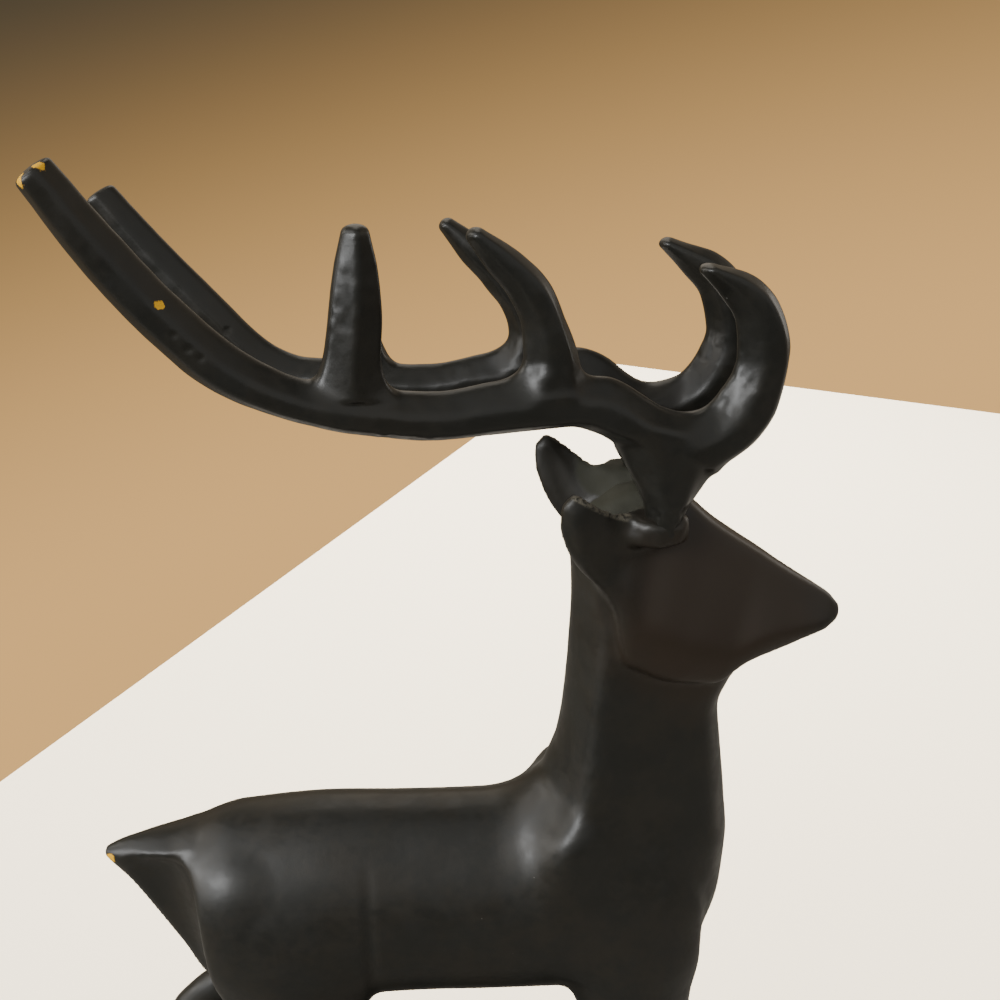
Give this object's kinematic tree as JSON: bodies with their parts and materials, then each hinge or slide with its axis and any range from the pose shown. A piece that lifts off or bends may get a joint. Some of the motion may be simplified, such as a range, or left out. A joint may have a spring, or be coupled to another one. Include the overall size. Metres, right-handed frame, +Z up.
{
  "type": "stag statue",
  "caption": "Standing stag with a raised head and long swept-back antlers, in black-coated cast metal, on a low oblong base.",
  "frame": {"origin": "middle of the base's flat underside", "axes": "+X the way the stag looks, +Y its left side, +Z up"},
  "size_m": [0.1792, 0.0674, 0.2937],
  "materials": {
    "black_coat": "satin",
    "antler_coat": "satin"
  },
  "bodies": {
    "root": {"stag_body": "black_coat", "antler_right": "antler_coat", "antler_left": "antler_coat"}
  },
  "joints": []
}
